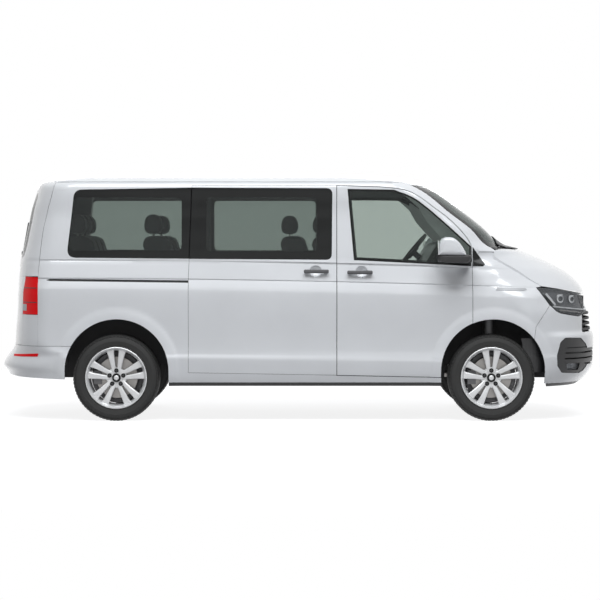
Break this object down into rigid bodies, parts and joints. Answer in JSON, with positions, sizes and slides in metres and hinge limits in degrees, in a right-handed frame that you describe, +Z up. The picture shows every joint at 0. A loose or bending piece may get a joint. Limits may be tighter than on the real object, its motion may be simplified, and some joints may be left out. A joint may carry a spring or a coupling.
{
  "type": "minibus",
  "caption": "Long-wheelbase van-bodied passenger minibus with a hollow cabin, rows of seats, hinged front doors, sliding side door, tailgate, bonnet and steered alloy wheels.",
  "frame": {"origin": "on the road under the middle of the body, at the bottom centre of the bounding box", "axes": "+X forward to the bonnet, +Y to the vehicle's left side, +Z up"},
  "size_m": [4.894, 2.2952, 1.9899],
  "materials": {
    "white_paint": "gloss",
    "grey_plastic": "matt",
    "black_plastic": "satin",
    "underbody": "matt",
    "clear_glass": "clear",
    "tinted_glass": "tinted",
    "lamp_clear": "clear lens",
    "lamp_red": "red lens",
    "seat_cloth": "woven",
    "trim_plastic": "grained",
    "cast_metal": "cast",
    "bare_steel": "brushed",
    "alloy": "painted silver",
    "tyre_rubber": "matt"
  },
  "bodies": {
    "chassis": {"floor_pan": "underbody", "wheelhouses": "black_plastic", "chassis_rails": "underbody", "right_side_panel": "white_paint", "left_side_panel": "white_paint", "roof": "white_paint", "roof_rack_points": "black_plastic", "wings": "white_paint", "firewall": "underbody", "cowl": "black_plastic", "front_bumper": "white_paint", "grille": "black_plastic", "headlamps": "lamp_clear", "rear_bumper": "white_paint", "tail_lamps": "lamp_red", "windscreen": "clear_glass", "side_glass": "tinted_glass", "sliding_door": "white_paint", "sliding_door_glass": "tinted_glass", "dashboard": "trim_plastic", "front_seats": "seat_cloth", "second_row_seats": "seat_cloth", "third_row_seats": "seat_cloth", "engine_block": "cast_metal", "front_subframe": "underbody", "rear_axle": "cast_metal", "fuel_tank": "black_plastic", "exhaust": "bare_steel"},
    "bonnet": {"bonnet": "white_paint"},
    "tailgate": {"tailgate": "white_paint", "tailgate_glass": "tinted_glass"},
    "right_door": {"right_door": "white_paint", "right_door_glass": "clear_glass", "right_mirror": "white_paint"},
    "left_door": {"left_door": "white_paint", "left_door_glass": "clear_glass", "left_mirror": "white_paint"},
    "right_knuckle": {"right_knuckle": "cast_metal"},
    "left_knuckle": {"left_knuckle": "cast_metal"},
    "wheel_front_right": {"rim_front_right": "alloy", "tyre_front_right": "tyre_rubber"},
    "wheel_front_left": {"rim_front_left": "alloy", "tyre_front_left": "tyre_rubber"},
    "wheel_rear_right": {"rim_rear_right": "alloy", "tyre_rear_right": "tyre_rubber"},
    "wheel_rear_left": {"rim_rear_left": "alloy", "tyre_rear_left": "tyre_rubber"},
    "steering_wheel": {"steering_wheel": "trim_plastic"}
  },
  "joints": [
    {"name": "right_steering", "type": "hinge", "parent": "chassis", "child": "right_knuckle", "pos_m": [1.543, -0.7405, 0.345], "axis": [0, 0, 1], "range_deg": [-36, 36]},
    {"name": "left_steering", "type": "hinge", "parent": "chassis", "child": "left_knuckle", "pos_m": [1.543, 0.7405, 0.345], "axis": [0, 0, 1], "range_deg": [-36, 36]},
    {"name": "wheel_front_right_spin", "type": "hinge", "parent": "right_knuckle", "child": "wheel_front_right", "pos_m": [1.543, -0.8145, 0.345], "axis": [0, 1, 0], "continuous": true},
    {"name": "wheel_front_left_spin", "type": "hinge", "parent": "left_knuckle", "child": "wheel_front_left", "pos_m": [1.543, 0.8145, 0.345], "axis": [0, 1, 0], "continuous": true},
    {"name": "wheel_rear_right_spin", "type": "hinge", "parent": "chassis", "child": "wheel_rear_right", "pos_m": [-1.457, -0.8145, 0.345], "axis": [0, 1, 0], "continuous": true},
    {"name": "wheel_rear_left_spin", "type": "hinge", "parent": "chassis", "child": "wheel_rear_left", "pos_m": [-1.457, 0.8145, 0.345], "axis": [0, 1, 0], "continuous": true},
    {"name": "right_door_hinge", "type": "hinge", "parent": "chassis", "child": "right_door", "pos_m": [1.388, -0.955, 0.9], "axis": [0, 0, 1], "range_deg": [0, 68]},
    {"name": "left_door_hinge", "type": "hinge", "parent": "chassis", "child": "left_door", "pos_m": [1.388, 0.955, 0.9], "axis": [0, 0, -1], "range_deg": [0, 68]},
    {"name": "tailgate_hinge", "type": "hinge", "parent": "chassis", "child": "tailgate", "pos_m": [-2.045, 0, 1.972], "axis": [0, 1, 0], "range_deg": [0, 85]},
    {"name": "bonnet_hinge", "type": "hinge", "parent": "chassis", "child": "bonnet", "pos_m": [1.552, 0, 1.366], "axis": [0, -1, 0], "range_deg": [0, 55]},
    {"name": "steering_wheel_turn", "type": "hinge", "parent": "chassis", "child": "steering_wheel", "pos_m": [0.972, 0.42, 1.35], "axis": [-0.775, 0, 0.632], "range_deg": [-504, 504]}
  ],
  "couplings": [
    {"joint": "left_steering", "follows": "right_steering", "ratio": 1},
    {"joint": "steering_wheel_turn", "follows": "right_steering", "ratio": 14}
  ]
}
